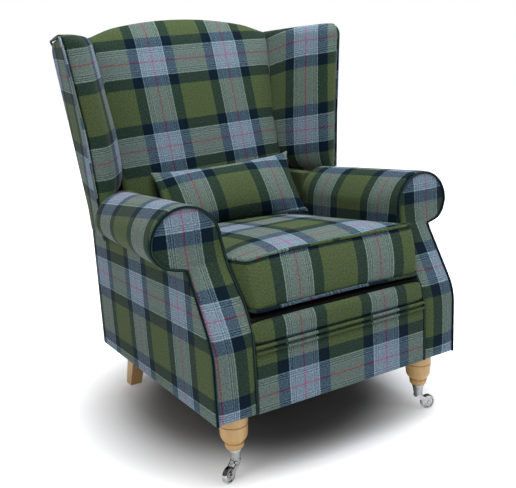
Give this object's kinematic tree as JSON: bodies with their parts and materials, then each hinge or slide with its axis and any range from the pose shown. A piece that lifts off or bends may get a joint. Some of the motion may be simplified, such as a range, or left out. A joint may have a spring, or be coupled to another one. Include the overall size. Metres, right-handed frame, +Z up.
{
  "type": "wing armchair",
  "caption": "Upholstered wing fireside armchair with scroll arms, loose box seat cushion, small scatter cushion, turned front legs on cup castors and raked back legs.",
  "frame": {"origin": "on the floor under the middle of the chair's bounding box", "axes": "+Z up, the chair faces -Y, +X is the left hand side of a sitter"},
  "size_m": [0.8528, 0.836, 1.0579],
  "materials": {
    "tartan": "two-way tartan wool twill in olive green, navy and pale lavender blue with thin magenta and pale lines",
    "piping": "dark navy corded piping of the same wool",
    "beech": "light beech, stained and satin lacquered",
    "chrome": "polished",
    "castor_wheel": "polished metal wheel",
    "steel": "zinc plated",
    "webbing": "elastic upholstery webbing",
    "deck_felt": "needled felt platform",
    "black_cloth": "spun dust cloth",
    "frame_timber": "planed hardwood, unfinished"
  },
  "bodies": {
    "frame": {"arm_facing_left": "tartan", "arm_facing_right": "tartan", "arm_outer_panel_left": "tartan", "arm_outer_panel_right": "tartan", "arm_pad_left": "tartan", "arm_pad_right": "tartan", "arm_post_left": "frame_timber", "arm_post_right": "frame_timber", "arm_top_rail_left": "frame_timber", "arm_top_rail_right": "frame_timber", "back_crest_rail": "frame_timber", "back_pad": "tartan", "back_post_left": "frame_timber", "back_post_right": "frame_timber", "back_stay_rail": "frame_timber", "back_webbing": "webbing", "castor_cup_left": "chrome", "castor_cup_right": "chrome", "corner_blocks": "frame_timber", "dust_cover": "black_cloth", "facing_piping_left": "piping", "facing_piping_right": "piping", "front_leg_left": "beech", "front_leg_right": "beech", "front_panel": "tartan", "front_piping": "piping", "front_roll": "tartan", "leg_bolts": "steel", "outside_back_panel": "tartan", "rear_leg_left": "beech", "rear_leg_right": "beech", "seat_back_rail": "frame_timber", "seat_deck": "deck_felt", "seat_front_rail": "frame_timber", "seat_side_rail_left": "frame_timber", "seat_side_rail_right": "frame_timber", "seat_webbing": "webbing", "wing_frame_left": "frame_timber", "wing_frame_right": "frame_timber", "wing_outer_panel_left": "tartan", "wing_outer_panel_right": "tartan", "wing_pad_left": "tartan", "wing_pad_right": "tartan", "wing_piping_left": "piping", "wing_piping_right": "piping"},
    "castor_fork_left": {"castor_axle_left": "chrome", "castor_fork_left": "chrome"},
    "castor_fork_right": {"castor_axle_right": "chrome", "castor_fork_right": "chrome"},
    "castor_wheel_left": {"castor_wheel_left": "castor_wheel"},
    "castor_wheel_right": {"castor_wheel_right": "castor_wheel"},
    "seat_cushion": {"seat_cushion": "tartan", "seat_cushion_piping": "piping"},
    "scatter_cushion": {"scatter_cushion": "tartan"}
  },
  "joints": [
    {"name": "castor_swivel_left", "type": "hinge", "parent": "frame", "child": "castor_fork_left", "pos_m": [-0.279, -0.354, 0.048], "axis": [0, 0, 1], "continuous": true},
    {"name": "castor_roll_left", "type": "hinge", "parent": "castor_fork_left", "child": "castor_wheel_left", "pos_m": [-0.30385, -0.36455, 0.019], "axis": [-0.3907, 0.9205, 0], "continuous": true},
    {"name": "castor_swivel_right", "type": "hinge", "parent": "frame", "child": "castor_fork_right", "pos_m": [0.279, -0.354, 0.048], "axis": [0, 0, 1], "continuous": true},
    {"name": "castor_roll_right", "type": "hinge", "parent": "castor_fork_right", "child": "castor_wheel_right", "pos_m": [0.30508, -0.36099, 0.019], "axis": [-0.2588, -0.9659, 0], "continuous": true},
    {"name": "seat_cushion_lift", "type": "slide", "parent": "frame", "child": "seat_cushion", "axis": [0, 0, 1], "range_m": [0, 0.5]},
    {"name": "scatter_cushion_lift", "type": "slide", "parent": "seat_cushion", "child": "scatter_cushion", "axis": [0, 0, 1], "range_m": [0, 0.4]}
  ]
}
